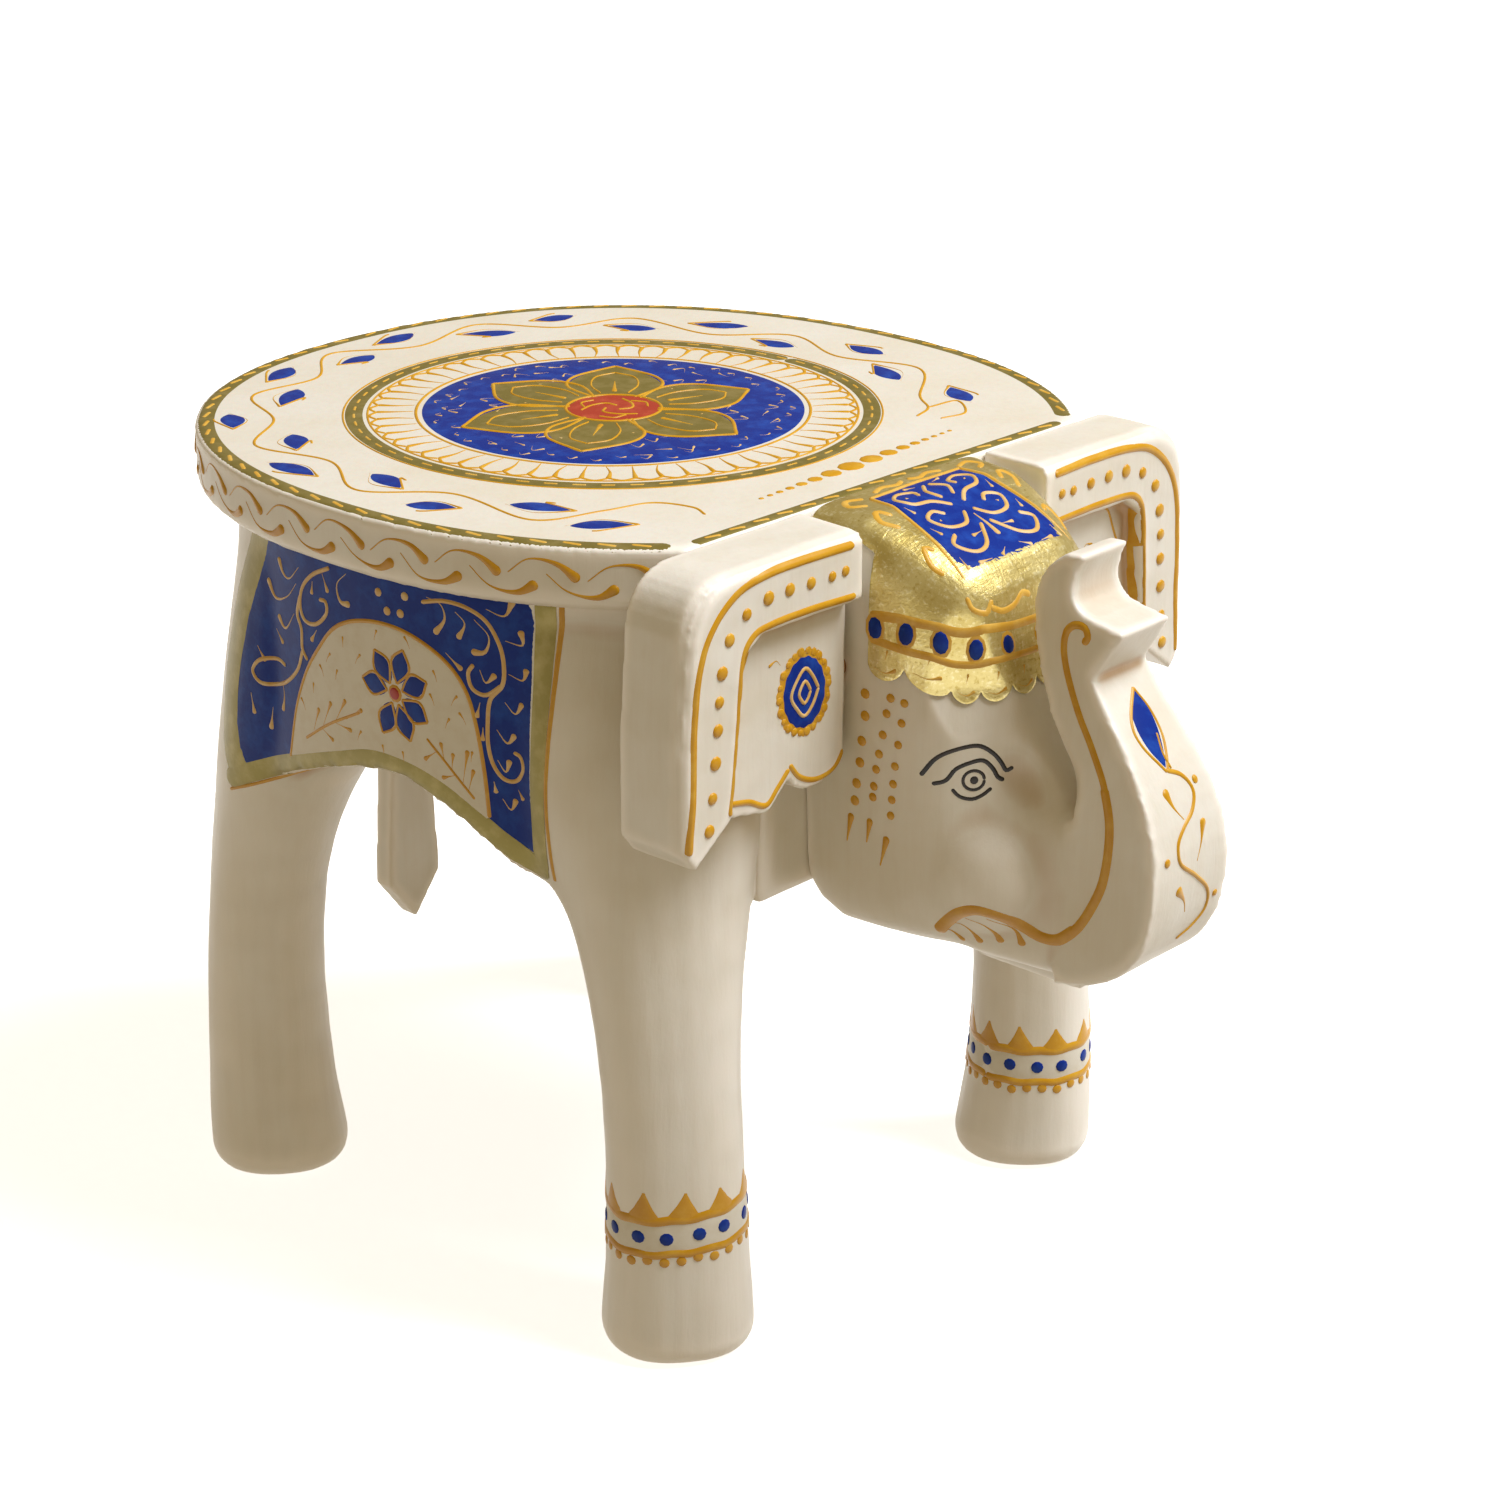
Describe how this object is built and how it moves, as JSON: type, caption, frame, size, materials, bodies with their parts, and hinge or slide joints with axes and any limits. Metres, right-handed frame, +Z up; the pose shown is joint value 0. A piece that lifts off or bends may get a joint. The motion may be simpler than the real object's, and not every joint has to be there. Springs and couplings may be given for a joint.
{
  "type": "elephant stool",
  "caption": "Low carved wooden stool in the form of an elephant: a round seat board on elephant legs, with a raised-trunk head, slab ears and a flat tail, hand painted",
  "frame": {"origin": "On the floor, under the middle of the whole stool's box", "axes": "+Z is up and is the seat face's outward normal. The elephant looks toward -Y, so +Y runs from the trunk to the seat's back. +X is the elephant's left"},
  "size_m": [0.208, 0.2822, 0.203],
  "materials": {
    "painted_wood": "cream satin paint over carved wood, with ochre and blue decoration",
    "gilded_wood": "cream satin paint with a pale gold painted cap",
    "bare_wood": "bare turned wood"
  },
  "bodies": {
    "root": {"seat_board": "painted_wood", "flank_right": "painted_wood", "flank_left": "painted_wood", "chest_board": "painted_wood", "rump_board": "painted_wood", "head_block": "gilded_wood", "trunk": "painted_wood", "ear_right": "painted_wood", "ear_left": "painted_wood", "tail": "painted_wood", "seat_dowels": "bare_wood", "chest_dowels": "bare_wood", "rump_dowels": "bare_wood", "head_dowels": "bare_wood", "trunk_dowels": "bare_wood", "ear_dowels": "bare_wood", "tail_pins": "bare_wood"}
  },
  "joints": []
}
